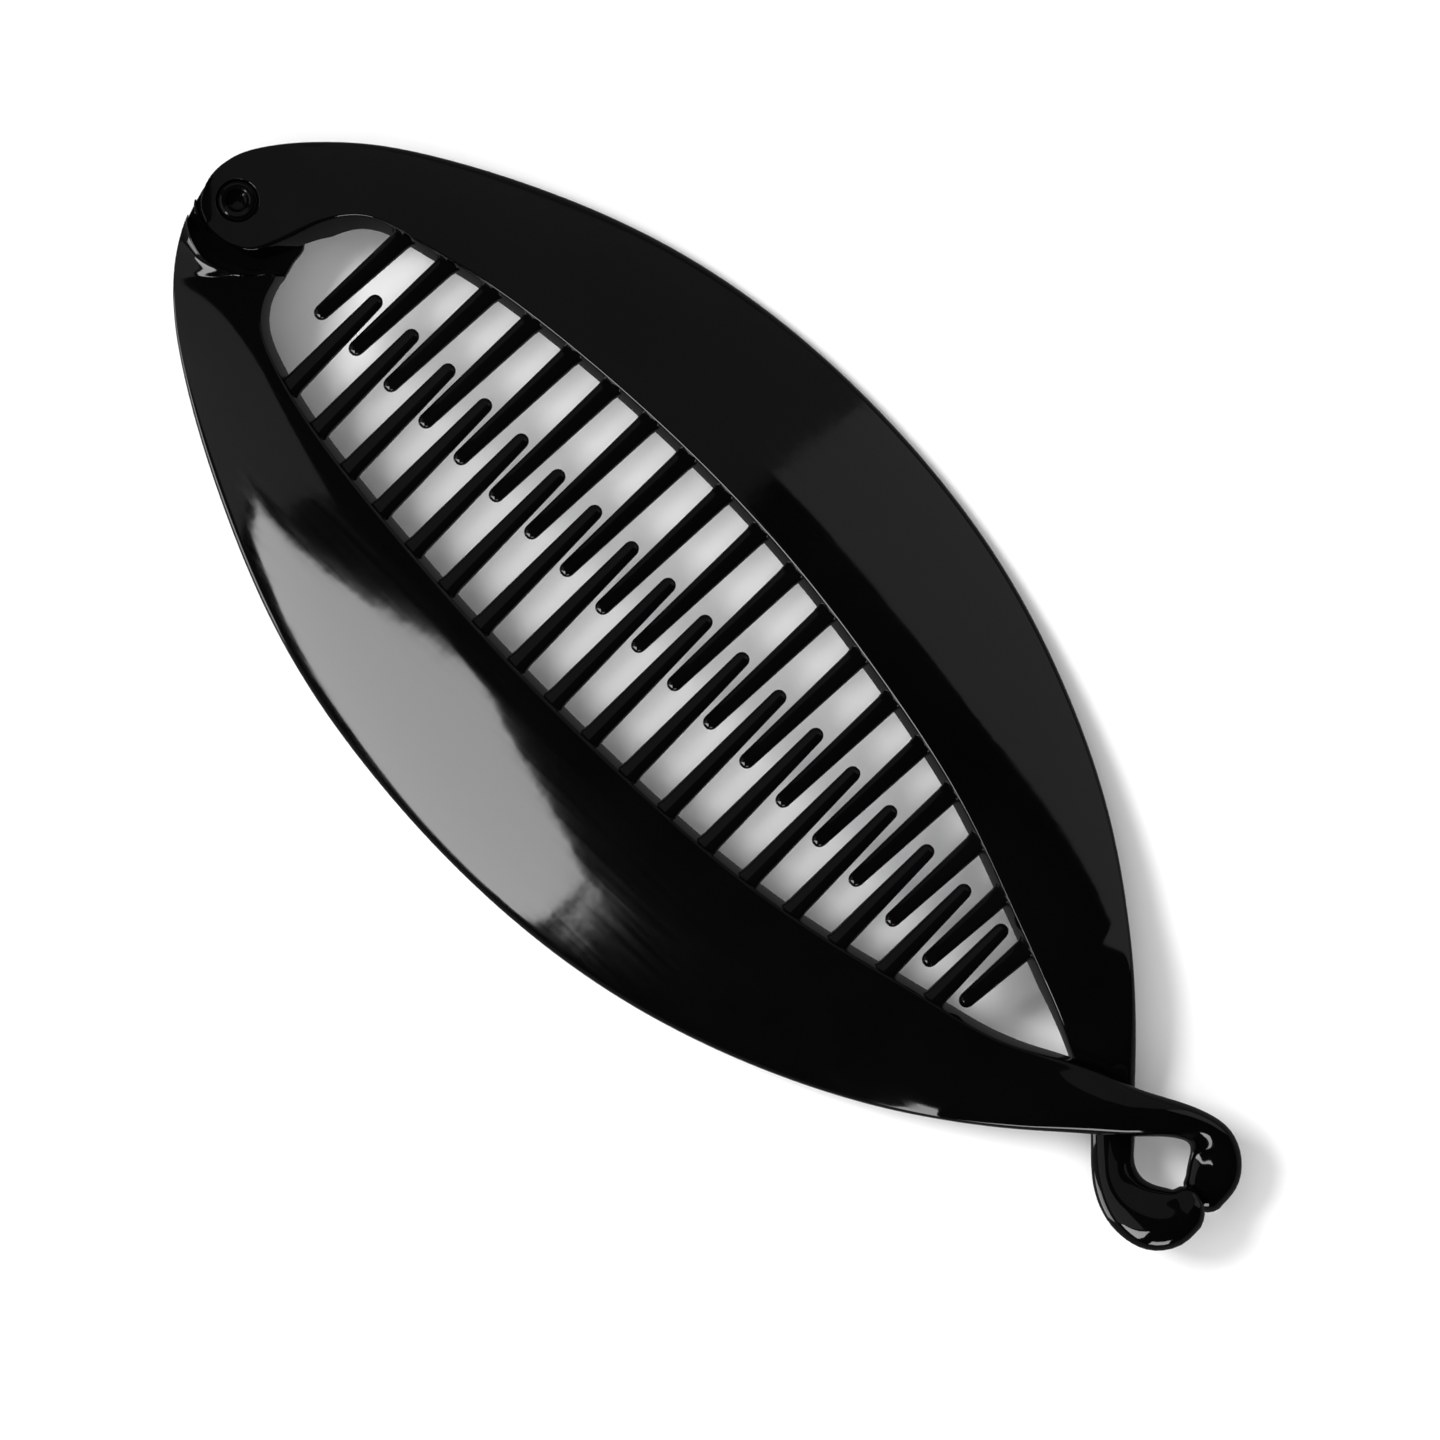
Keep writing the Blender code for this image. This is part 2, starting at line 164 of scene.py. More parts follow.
# Plan of each jaw from the hinge round the wing to the hook's end: outer edge,
# rim, share of round rod, height of the rod's middle line.
UPPER_JAW = [
    (-72.10, -2.78, -70.85, -2.97, 0, 11.5),
    (-73.35, -2.10, -69.20, -2.88, 0, 11.5),
    (-74.30, -0.90, -67.65, -2.45, 0, 11.5),
    (-74.90, 1.00, -66.25, -1.60, 0, 11.5),
    (-74.80, 3.10, -65.15, 0.35, 0, 11.5),
    (-74.20, 5.00, -64.35, 2.65, 0, 11.4),
    (-72.90, 7.20, -63.60, 4.90, 0, 11.0),
    (-70.95, 9.80, -62.60, 6.85, 0, 10.5),
    (-68.10, 12.80, -61.05, 8.70, 0, 10.0),
    (-64.60, 15.75, -58.75, 10.10, 0, 10.0),
    (-60.00, 18.80, -55.60, 10.95, 0, 10.0),
    (-50.00, 24.10, -48.50, 12.70, 0, 10.0),
    (-36.00, 29.40, -36.00, 14.50, 0, 10.0),
    (-20.00, 32.25, -20.00, 15.35, 0, 10.0),
    (-4.00, 32.40, -4.00, 14.75, 0, 10.0),
    (12.00, 30.10, 12.00, 12.50, 0, 10.0),
    (26.00, 25.50, 26.00, 9.40, 0, 10.0),
    (38.00, 19.50, 37.00, 5.50, 0, 10.0),
    (47.00, 13.20, 45.50, 2.20, 0.03, 10.3),
    (53.50, 7.60, 51.50, -0.50, 0.50, 8.2),
    (58.70, 2.40, 56.00, -3.00, 0.95, 6.0),
    (61.50, -0.50, 59.40, -5.00, 1, 5.0),
    (63.75, -2.75, 62.00, -7.50, 1, 5.0),
    (65.30, -4.45, 64.90, -9.80, 1, 5.9),
    (66.90, -5.10, 68.00, -10.90, 1, 7.2),
    (68.40, -4.75, 71.00, -10.75, 1, 8.3),
    (69.50, -4.10, 73.50, -9.35, 1, 9.0),
    (69.90, -3.85, 74.85, -6.90, 1, 9.3),
    (70.10, -3.70, 74.95, -5.30, 1, 9.4),
]
LOWER_JAW = [
    (-73.85, -3.60, -72.80, -4.55, 0, 10.0),
    (-73.40, -4.75, -70.90, -5.45, 0, 10.0),
    (-72.85, -5.85, -69.20, -5.70, 0, 10.0),
    (-72.20, -6.95, -67.20, -5.30, 0, 10.0),
    (-71.45, -8.05, -65.40, -4.30, 0, 10.0),
    (-70.65, -9.05, -63.90, -3.00, 0, 10.0),
    (-70.00, -9.80, -62.80, -1.75, 0, 10.0),
    (-69.30, -10.55, -62.40, -2.60, 0, 10.0),
    (-68.25, -11.55, -61.90, -4.20, 0, 10.0),
    (-66.75, -12.85, -60.90, -5.80, 0, 10.0),
    (-64.20, -14.75, -59.20, -7.20, 0, 10.0),
    (-60.10, -17.40, -56.30, -8.45, 0, 10.0),
    (-50.00, -22.80, -48.50, -10.40, 0, 10.0),
    (-36.00, -28.45, -36.00, -12.00, 0, 10.0),
    (-20.00, -31.70, -20.00, -13.15, 0, 10.0),
    (-4.00, -32.50, -4.00, -13.35, 0, 10.0),
    (12.00, -30.90, 12.00, -12.70, 0, 10.0),
    (26.00, -27.00, 26.00, -10.60, 0, 10.0),
    (38.00, -21.70, 37.50, -7.80, 0, 10.0),
    (47.50, -15.90, 47.00, -5.15, 0.03, 10.2),
    (54.50, -10.45, 52.60, -2.10, 0.40, 10.7),
    (59.60, -5.95, 57.20, 0.00, 0.85, 10.7),
    (62.70, -3.25, 60.40, 1.30, 1, 10.6),
    (65.10, -0.90, 63.60, 2.95, 1, 10.2),
    (66.80, 0.40, 67.10, 4.45, 1, 9.1),
    (67.90, 0.80, 70.00, 4.85, 1, 8.1),
    (68.70, 0.35, 72.70, 3.80, 1, 7.2),
    (69.40, -0.70, 74.75, 1.20, 1, 6.6),
    (70.15, -1.75, 75.05, -1.05, 1, 6.4),
]
ROD_HALF_HEIGHT = 2.2
ROD_CREASE = 0.30
ROD_CREASE_TURN = 112.0
ROD_CREASE_SPREAD = 26.0
# Turns round the rod, in degrees, where its outline goes over to the next side
ROD_OUTER_TURN = 185.0
ROD_CREST_TURN = 25.0
ROD_LIP_TURN = -35.0
ROD_LAST_TURN = -175.0
ROD_END_TURNS = (20, 38, 54, 68, 80)

# How far the upper jaw's drafted rim wall leans into the window, by distance from the hinge
DRAFT_BY_REACH = ([4.0, 6.5, 9.0, 12.5, 18.5], [0.35, 1.3, 1.9, 1.5, RIM_DRAFT])

# ---------------------------------------------------------------- teeth
TOOTH_PITCH = 5.18
TOOTH_PITCH_GROWTH = 0.029
FIRST_UPPER_TOOTH_X = -56.05
FIRST_LOWER_TOOTH_X = -53.5
UPPER_TEETH = 19
LOWER_TEETH = 18
UPPER_TOOTH_LEAN = -0.7
ROOT_HALF_WIDTH = 1.15
TIP_HALF_WIDTH = 0.80
ROOT_HALF_DEPTH = 1.15
TIP_HALF_DEPTH = 0.8
TOOTH_SIDES = 28
TOOTH_SQUARENESS = 0.62
TOOTH_TOP_NARROWING = 0.06
TOOTH_TOP_DROP = 0.75
TOOTH_TIP_DROP = 2.2
TOOTH_ROOT_SINK = 0.1
TOOTH_BAR_START = 0.2
TOOTH_BAR_RINGS = 6
TOOTH_NOSE_TURNS = (18, 34, 50, 64, 76)
# Flare of the root: share of the way to the tip, and times the width there
ROOT_FLARES = [(-0.04, 1.5), (0.0, 1.35), (0.02, 1.2), (0.045, 1.08), (0.08, 1.0)]
# Lines that the teeth end on: X of a place, Y there, slope there, bend
UPPER_TIP_LINE = (-57.0, -1.9, -0.022, -0.00016)
LOWER_TIP_LINE = (-18.0, 4.85, 0.0, -0.0004)
# Part of the rim, by X, that the teeth can stand on
WINDOW_START_X = -61.0
WINDOW_END_X = 56.0


# ---------------------------------------------------------------- curves
def spline(knots, values, at):
    """Natural cubic spline through values at knots, read at the places in at."""
    knots = np.asarray(knots, float)
    values = np.asarray(values, float)
    count = len(knots)
    gaps = np.diff(knots)
    slopes = np.diff(values, axis=0) / gaps[:, None]
    system = np.eye(count)
    right = np.zeros_like(values)
    for i in range(1, count - 1):
        system[i, i - 1] = gaps[i - 1]
        system[i, i] = 2.0 * (gaps[i - 1] + gaps[i])
        system[i, i + 1] = gaps[i]
        right[i] = 6.0 * (slopes[i] - slopes[i - 1])
    bend = np.linalg.solve(system, right)
    place = np.clip(np.searchsorted(knots, at, side="right") - 1, 0, count - 2)
    step = gaps[place][:, None]
    ahead = (knots[place + 1] - at)[:, None]
    behind = (at - knots[place])[:, None]
    curve = bend[place] * ahead ** 3 / (6.0 * step)
    curve += bend[place + 1] * behind ** 3 / (6.0 * step)
    curve += (values[place] / step - bend[place] * step / 6.0) * ahead
    curve += (values[place + 1] / step - bend[place + 1] * step / 6.0) * behind
    return curve


def smooth_step(low, high, value):
    """0 up to low, 1 from high on, and a smooth rise between."""
    t = np.clip((value - low) / (high - low), 0.0, 1.0)
    return t * t * (3.0 - 2.0 * t)


def mix(a, b, share):
    """a where share is 0, b where it is 1."""
    return a + (b - a) * share


def bezier(start, handle, end, t):
    """Point of a quadratic curve that leaves start towards handle and arrives at end from it."""
    return (1.0 - t) ** 2 * start + 2.0 * t * (1.0 - t) * handle + t * t * end


def arch(x, half_flat, power):
    """0 over the flat middle of the arch, rising to about 1 at its two ends."""
    along = max(abs(x - ARCH_MIDDLE_X) - half_flat, 0.0)
    return (along / (ARCH_HALF_LENGTH - half_flat)) ** power


def crest_z(x):
    """Height of a wing's crest, which sinks towards both ends."""
    return CREST_HEIGHT - (CREST_HEIGHT - CREST_AT_ENDS) * min(arch(x, 0.0, CREST_DROP_POWER), 1.0)


def edge_z(x):
    """Height of a wing's outer edge, which rises from the table towards both ends."""
    lift = min(arch(x, EDGE_FLAT_HALF_LENGTH, EDGE_RISE_POWER), EDGE_RISE_LIMIT)
    return EDGE_RISE_AT_ENDS * lift


# ---------------------------------------------------------------- mesh helpers
def ring_object(name, bodies, material):
    """One mesh object from closed lofts, each a list of rings in millimetres."""
    builder = bmesh.new()
    for rings in bodies:
        add_loft(builder, rings)
    mesh = bpy.data.meshes.new(name)
    builder.to_mesh(mesh)
    builder.free()
    mesh.shade_smooth()
    mesh.set_sharp_from_angle(angle=SHARP_ANGLE)
    mesh.materials.append(material)
    piece = bpy.data.objects.new(name, mesh)
    bpy.context.scene.collection.objects.link(piece)
    return piece


def add_loft(builder, rings):
    """Adds a closed skin over rings of equal size, given in millimetres."""
    rows = []
    for ring in rings:
        rows.append([builder.verts.new([float(c) * MM for c in point]) for point in ring])
    count = len(rows[0])
    faces = []
    for row, following in zip(rows, rows[1:]):
        for i in range(count):
            j = (i + 1) % count
            faces.append(builder.faces.new((row[i], row[j], following[j], following[i])))
    faces.append(builder.faces.new(list(reversed(rows[0]))))
    faces.append(builder.faces.new(rows[-1]))
    bmesh.ops.recalc_face_normals(builder, faces=faces)


def lathe(profile):
    """Rings of a body turned about the hinge, from (radius, height) pairs."""
    angles = np.linspace(0.0, 2.0 * np.pi, LATHE_SIDES, endpoint=False)
    rings = []
    for radius, z in profile:
        x = HINGE[0] + radius * np.cos(angles)
        y = HINGE[1] + radius * np.sin(angles)
        rings.append(np.stack([x, y, np.full(LATHE_SIDES, z)], axis=1))
    return rings


def rounded(corners):
    """Closed outline whose corners (u, z, radius, points) are rounded off.

    A corner with one point is kept as it is.
    """
    outline = []
    count = len(corners)
    for i, (u, z, radius, points) in enumerate(corners):
        here = np.array((u, z))
        if points == 1:
            outline.append(here)
            continue
        before = np.array(corners[i - 1][:2]) - here
        after = np.array(corners[(i + 1) % count][:2]) - here
        reach_before = min(radius, CORNER_SHARE * np.linalg.norm(before))
        reach_after = min(radius, CORNER_SHARE * np.linalg.norm(after))
        start = here + before / np.linalg.norm(before) * reach_before
        end = here + after / np.linalg.norm(after) * reach_after
        for t in np.linspace(0.0, 1.0, points):
            outline.append(bezier(start, here, end, t))
    return np.array(outline)


# ---------------------------------------------------------------- the jaws
def section(length, low, high, plate, blunt, draft, rod, rod_middle):
    """Section of a jaw: distance in from the outer edge, and height.

    plate is 1 where the wing has become a flat plate, blunt is 1 where only its
    outer face has grown to full height, and rod is 1 where it is a round rod,
    whose middle line lies at the height rod_middle.
    """
    rise = high - low
    face = mix(EDGE_FACE_HEIGHT, rise - SHOULDER_BELOW_CREST, max(plate, blunt))
    shoulder = np.array((EDGE_FACE_SLANT, low + face))
    crest = np.array((length, high))
    crown_up = mix(CROWN_UP, CROWN_UP_ON_PLATE, plate)
    crown = np.array((CROWN_ALONG * length, mix(shoulder[1], high, crown_up)))
    foot = min(EDGE_FOOT, FOOT_SHARE * length)
    lip = min(LIP, LIP_SHARE * length)
    depth = mix(min(RIM_DEPTH, RIM_DEPTH_SHARE * rise), rise, plate)
    wall = min(WALL, WALL_SHARE * length)
    corners = [
        (0.0, low, EDGE_RADIUS, SMALL_ROUND_POINTS),
        (*shoulder, SHOULDER_RADIUS, LARGE_ROUND_POINTS),
    ]
    for t in np.linspace(*TOP_SPAN, TOP_SAMPLES):
        corners.append((*bezier(shoulder, crown, crest, t), 0.0, 1))
    corners.append((length, high, CREST_RADIUS, LARGE_ROUND_POINTS))
    corners.append((length + draft, high - depth, FOOT_RADIUS, SMALL_ROUND_POINTS))
    corners.append((length - lip, high - depth, FOOT_RADIUS, SMALL_ROUND_POINTS))
    inner_end = np.array((length - wall, mix(high - wall, low, plate)))
    if plate < 0.5:
        inner_end[1] = max(inner_end[1], high - depth + LIP_STEP)
    inner_start = np.array((foot, low))
    inner_crown = np.array((crown[0] + CROWN_SHIFT * wall, mix(crown[1] - wall, low, plate)))
    for t in np.linspace(*UNDER_SPAN, UNDER_SAMPLES):
        corners.append((*bezier(inner_end, inner_crown, inner_start, t), 0.0, 1))
    corners.append((foot, low, FOOT_RADIUS, SMALL_ROUND_POINTS))
    wing = rounded(corners)
    return mix(wing, rod_outline(length, rod_middle, len(wing)), rod)


def rod_outline(length, middle, count):
    """Oval outline with as many points as the wing's, matched side to side.

    Its top is pressed flat on the outer side, which leaves a soft crease along it.
    """
    top = SMALL_ROUND_POINTS + LARGE_ROUND_POINTS + TOP_SAMPLES
    rim = LARGE_ROUND_POINTS + SMALL_ROUND_POINTS + SMALL_ROUND_POINTS
    under = count - top - rim
    turns = np.concatenate([
        np.linspace(ROD_OUTER_TURN, ROD_CREST_TURN, top, endpoint=False),
        np.linspace(ROD_CREST_TURN, ROD_LIP_TURN, rim, endpoint=False),
        np.linspace(ROD_LIP_TURN, ROD_LAST_TURN, under, endpoint=False),
    ])
    angles = np.radians(turns)
    half = 0.5 * length
    height = ROD_HALF_HEIGHT * np.sin(angles)
    pressed = np.exp(-((turns - ROD_CREASE_TURN) / ROD_CREASE_SPREAD) ** 2)
    height -= ROD_CREASE * pressed
    return np.stack([half + half * np.cos(angles), middle + height], axis=1)


def jaw_stations(plan):
    """The plan's rows, evenly and smoothly filled in along the jaw."""
    rows = np.array(plan)
    outer_steps = np.linalg.norm(np.diff(rows[:, 0:2], axis=0), axis=1)
    rim_steps = np.linalg.norm(np.diff(rows[:, 2:4], axis=0), axis=1)
    knots = np.concatenate([[0.0], np.cumsum(0.5 * (outer_steps + rim_steps))])
    at = np.linspace(0.0, knots[-1], STATIONS)
    filled = spline(knots, rows, at)
    filled[:, 4] = np.clip(np.interp(at, knots, rows[:, 4]), 0.0, 1.0)
    return filled


def jaw_rings(plan, lobe):
    """Rings of a jaw's wing and hook. lobe is (bottom, top) of its hinge plate, or None."""
    rings = []
    for outer_x, outer_y, rim_x, rim_y, rod, rod_middle in jaw_stations(plan):
        outer = np.array((outer_x, outer_y))
        across = np.array((rim_x, rim_y)) - outer
        length = np.linalg.norm(across)
        across /= length
        low = edge_z(outer_x)
        high = crest_z(rim_x)
        plate = 0.0
        blunt = 0.0
        draft = RIM_DRAFT
        reach = np.linalg.norm(outer + 0.5 * length * across - HINGE)
        if lobe is None:
            blunt = BLUNTNESS * (1.0 - smooth_step(*BLUNT_REACH, reach))
        else:
            plate = 1.0 - smooth_step(*PLATE_REACH, reach)
            low = mix(low, lobe[0], plate)
            high = mix(high, lobe[1], plate)
            rim_reach = np.linalg.norm(outer + length * across - HINGE)
            draft = np.interp(rim_reach, *DRAFT_BY_REACH)
        draft = min(draft, DRAFT_SHARE * length)
        ring = []
        for along, height in section(length, low, high, plate, blunt, draft, rod, rod_middle):
            x, y = outer + across * along
            ring.append((x, y, height))
        rings.append(np.array(ring))
    rings.extend(dome(rings[-1], rings[-2]))
    return rings


def dome(ring, before):
    """Shrinking rings that round off a rod's end."""
    centre = ring.mean(axis=0)
    along = centre - before.mean(axis=0)
    along /= np.linalg.norm(along)
    rings = []
    for turn in np.radians(ROD_END_TURNS):
        shrunk = (ring - centre) * math.cos(turn)
        rings.append(centre + shrunk + along * ROD_HALF_HEIGHT * math.sin(turn))
    return rings


def window_y(plan, x):
    """Y of the rim line at x."""
    rows = jaw_stations(plan)
    beside = (rows[:, 2] > WINDOW_START_X) & (rows[:, 2] < WINDOW_END_X)
    return float(np.interp(x, rows[beside, 2], rows[beside, 3]))


# ---------------------------------------------------------------- teeth
def tooth_x(first, index):
    """Teeth stand a little further apart towards the tail."""
    return first + TOOTH_PITCH * index + TOOTH_PITCH_GROWTH * index * (index - 1) / 2.0


def tip_y(line, x):
    """Y at which a tooth ends, on one of the tip lines."""
    place, height, slope, bend = line
    away = x - place
    return height + slope * away + bend * away ** 2


def tooth_rings(root, tip):
    """Rings of one tooth: flared root, drafted flanks, round nose."""
    root = np.array(root, float)
    tip = np.array(tip, float)
    along = tip - root
    reach = np.linalg.norm(along)
    along /= reach
    side = np.cross(along, (0.0, 0.0, 1.0))
    side /= np.linalg.norm(side)
    up = np.cross(side, along)
    body = 1.0 - TIP_HALF_WIDTH / reach
    bar = np.linspace(TOOTH_BAR_START, body, TOOTH_BAR_RINGS)
    places = ROOT_FLARES + [(share, 1.0) for share in bar]
    rings = []
    for share, flare in places:
        width = mix(ROOT_HALF_WIDTH, TIP_HALF_WIDTH, share) * flare
        deep = mix(ROOT_HALF_DEPTH, TIP_HALF_DEPTH, share)
        rings.append(tooth_ring(root + along * reach * share, side, up, width, deep))
    centre = root + along * reach * body
    for turn in np.radians(TOOTH_NOSE_TURNS):
        shrink = math.cos(turn)
        place = centre + along * TIP_HALF_WIDTH * math.sin(turn)
        rings.append(tooth_ring(place, side, up, TIP_HALF_WIDTH * shrink, TIP_HALF_DEPTH * shrink))
    return rings


def tooth_ring(centre, side, up, half_width, half_depth):
    """Bar section with rounded corners, narrower towards the top."""
    ring = []
    for angle in np.linspace(0.0, 2.0 * np.pi, TOOTH_SIDES, endpoint=False):
        across = math.copysign(abs(math.cos(angle)) ** TOOTH_SQUARENESS, math.cos(angle))
        rise = math.copysign(abs(math.sin(angle)) ** TOOTH_SQUARENESS, math.sin(angle))
        narrow = 1.0 - TOOTH_TOP_NARROWING * rise
        ring.append(centre + side * half_width * narrow * across + up * half_depth * rise)
    return np.array(ring)


def comb(plan, first, count, towards, tip_line, lean):
    """Teeth of a jaw. towards is the side, along Y, that they point to."""
    teeth = []
    for index in range(count):
        x = tooth_x(first, index)
        crest = crest_z(x)
        root_y = window_y(plan, x) - towards * TOOTH_ROOT_SINK
        root = (x, root_y, crest - TOOTH_TOP_DROP - ROOT_HALF_DEPTH)
        tip = (x + lean, tip_y(tip_line, x), crest - TOOTH_TIP_DROP)
        teeth.append(tooth_rings(root, tip))
    return teeth


# ---------------------------------------------------------------- hinge pieces
def knuckle_rings():
    """Lower jaw's floor under the lobe: a flat plate with eased edges."""
    closed = np.array(KNUCKLE_PLAN + KNUCKLE_PLAN[:1])
    steps = np.concatenate([[0.0], np.cumsum(np.linalg.norm(np.diff(closed, axis=0), axis=1))])
    around = spline(steps, closed, np.linspace(0.0, steps[-1], KNUCKLE_SIDES + 1)[:-1])
    inwards = around.mean(axis=0) - around
    inwards /= np.linalg.norm(inwards, axis=1)[:, None]
    levels = [(inset, KNUCKLE_BOTTOM + step) for inset, step in KNUCKLE_EASING]
    levels += [(inset, KNUCKLE_TOP - step) for inset, step in reversed(KNUCKLE_EASING)]
    rings = []
    for inset, z in levels:
        rings.append(np.column_stack([around + inwards * inset, np.full(KNUCKLE_SIDES, z)]))
    return rings


def ridge_rings():
    """Thin raised lip of the lower jaw that follows the lobe's outline."""
    middle = np.array((*HINGE, KNUCKLE_TOP + RIDGE_ABOVE_KNUCKLE))
    up = np.array((0.0, 0.0, 1.0))
    span = RIDGE_STATIONS - 1 + 2.0 * RIDGE_END_STEPS
    rings = []
    for i, angle in enumerate(np.radians(np.linspace(*RIDGE_ARC, RIDGE_STATIONS))):
        out = np.array((math.cos(angle), math.sin(angle), 0.0))
        centre = middle + out * RIDGE_RADIUS
        taper = math.sqrt(math.sin(math.pi * (i + RIDGE_END_STEPS) / span))
        size = RIDGE_HALF_THICKNESS * taper
        ring = []
        for turn in np.linspace(0.0, 2.0 * np.pi, RIDGE_SIDES, endpoint=False):
            ring.append(centre + out * size * math.cos(turn) + up * size * math.sin(turn))
        rings.append(np.array(ring))
    return rings


def pin_profile():
    """Tubular rivet: set end, shaft, cup with a rounded lip and a blind hole.

    The set end is given as radius and height above its lowest place, the cup and
    its hole as radius and depth below the lip's top.
    """
    set_end = [
        (NEAR_AXIS, 0.25), (0.9, 0.22), (1.3, 0.0), (1.75, 0.0), (2.1, 0.15), (2.2, 0.45),
        (PIN_SHAFT_RADIUS, 0.6),
    ]
    cup = [
        (PIN_SHAFT_RADIUS, 0.80), (PIN_CUP_RADIUS, 0.66), (PIN_CUP_RADIUS, 0.25),
        (PIN_CUP_RADIUS - 0.08, 0.08), (PIN_CUP_RADIUS - 0.25, 0.0),
    ]
    hole = [
        (PIN_CUP_HOLE_RADIUS + 0.3, 0.02), (PIN_CUP_HOLE_RADIUS + 0.08, 0.14),
        (PIN_CUP_HOLE_RADIUS, 0.35), (PIN_CUP_HOLE_RADIUS - 0.05, 1.6), (0.7, 1.85), (NEAR_AXIS, 1.95),
    ]
    lip_top = LOBE_TOP - PIN_LIP_BELOW_LOBE
    profile = [(radius, PIN_BOTTOM + up) for radius, up in set_end]
    profile += [(radius, lip_top - down) for radius, down in cup + hole]
    return profile


def cut_recess(piece):
    """Cuts the pin's bore and its flared recess out of the lobe.

    The floor's edge is given as radius and height above the recess floor, the
    mouth as radius and height above the lobe's top.
    """
    bore = [(BORE_RADIUS, KNUCKLE_TOP - CUT_PAST)]
    floor_edge = [
        (BORE_RADIUS, -0.1), (BORE_RADIUS + 0.1, 0.0), (RECESS_RADIUS - 0.12, 0.0), (RECESS_RADIUS, 0.15),
    ]
    mouth = [
        (RECESS_RADIUS + 0.02, -0.42), (RECESS_RADIUS + 0.12, -0.2), (RECESS_MOUTH_RADIUS, -0.02),
        (RECESS_MOUTH_RADIUS + RECESS_FLARE, 0.4), (RECESS_MOUTH_RADIUS + RECESS_FLARE, CUT_PAST),
    ]
    profile = bore + [(radius, LOBE_TOP - RECESS_DEPTH + up) for radius, up in floor_edge]
    profile += [(radius, LOBE_TOP + up) for radius, up in mouth]
    cutter = ring_object("recess_cutter", [lathe(profile)], piece.data.materials[0])
    cut = piece.modifiers.new("recess", "BOOLEAN")
    cut.operation = "DIFFERENCE"
    cut.solver = "EXACT"
    cut.object = cutter
    bpy.context.view_layer.update()
    evaluated = piece.evaluated_get(bpy.context.evaluated_depsgraph_get())
    carved = bpy.data.meshes.new_from_object(evaluated)
    piece.modifiers.clear()
    bpy.data.objects.remove(cutter, do_unlink=True)
    piece.data = carved
    piece.data.set_sharp_from_angle(angle=SHARP_ANGLE)


def join_into(piece, extra):
    """Adds another object's mesh to a piece and removes that object."""
    builder = bmesh.new()
    builder.from_mesh(piece.data)
    builder.from_mesh(extra.data)
    builder.to_mesh(piece.data)
    builder.free()
    bpy.data.objects.remove(extra, do_unlink=True)
    piece.data.set_sharp_from_angle(angle=SHARP_ANGLE)


# ---------------------------------------------------------------- materials
PLASTIC_IOR = 1.49
FLOW_SCALE = 60.0
FLOW_TINT = 0.3
# Stretch, per metre, and turn of the hairlines in the polish
HAIRLINE_STRETCH = (25.0, 1400.0, 900.0)
HAIRLINE_TURN = math.radians(24.0)
RIPPLE_SCALE = 260.0
RIPPLE_STRENGTH = 0.04
RIPPLE_HEIGHT_M = 0.0002
TABLE_SCALE = 8.0
TABLE_DARK = 0.90
TABLE_LIGHT = 0.93


def plastic(name, colour, roughness, variation):
    """Polished black moulding: faint flow marks, hairlines in the polish, a slight ripple."""
    material = bpy.data.materials.new(name)
    material.use_nodes = True
    nodes = material.node_tree.nodes
    links = material.node_tree.links
    shader = nodes["Principled BSDF"]
    shader.inputs["IOR"].default_value = PLASTIC_IOR
    shader.inputs["Specular IOR Level"].default_value = 0.5
    place = nodes.new("ShaderNodeTexCoord")
    flow = nodes.new("ShaderNodeTexNoise")
    flow.inputs["Scale"].default_value = FLOW_SCALE
    flow.inputs["Detail"].default_value = 4.0
    links.new(place.outputs["Object"], flow.inputs["Vector"])
    tint = nodes.new("ShaderNodeValToRGB")
    tint.color_ramp.elements[0].position = 0.35
    tint.color_ramp.elements[0].color = (*[(1.0 - FLOW_TINT) * c for c in colour], 1.0)
    tint.color_ramp.elements[1].position = 0.7
    tint.color_ramp.elements[1].color = (*[(1.0 + FLOW_TINT) * c for c in colour], 1.0)
    links.new(flow.outputs["Fac"], tint.inputs["Fac"])
    links.new(tint.outputs["Color"], shader.inputs["Base Color"])
    stretch = nodes.new("ShaderNodeMapping")
    stretch.inputs["Scale"].default_value = HAIRLINE_STRETCH
    stretch.inputs["Rotation"].default_value = (0.0, 0.0, HAIRLINE_TURN)
    links.new(place.outputs["Object"], stretch.inputs["Vector"])
    hairlines = nodes.new("ShaderNodeTexNoise")
    hairlines.inputs["Scale"].default_value = 1.0
    hairlines.inputs["Detail"].default_value = 3.0
    links.new(stretch.outputs["Vector"], hairlines.inputs["Vector"])
    polish = nodes.new("ShaderNodeMapRange")
    polish.inputs["From Min"].default_value = 0.35
    polish.inputs["From Max"].default_value = 0.75
    polish.inputs["To Min"].default_value = roughness - variation
    polish.inputs["To Max"].default_value = roughness + variation
    links.new(hairlines.outputs["Fac"], polish.inputs["Value"])
    links.new(polish.outputs["Result"], shader.inputs["Roughness"])
    ripple = nodes.new("ShaderNodeTexNoise")
    ripple.inputs["Scale"].default_value = RIPPLE_SCALE
    ripple.inputs["Detail"].default_value = 2.0
    links.new(place.outputs["Object"], ripple.inputs["Vector"])
    bump = nodes.new("ShaderNodeBump")
    bump.inputs["Strength"].default_value = RIPPLE_STRENGTH
    bump.inputs["Distance"].default_value = RIPPLE_HEIGHT_M
    links.new(ripple.outputs["Fac"], bump.inputs["Height"])
    links.new(bump.outputs["Normal"], shader.inputs["Normal"])
    return material


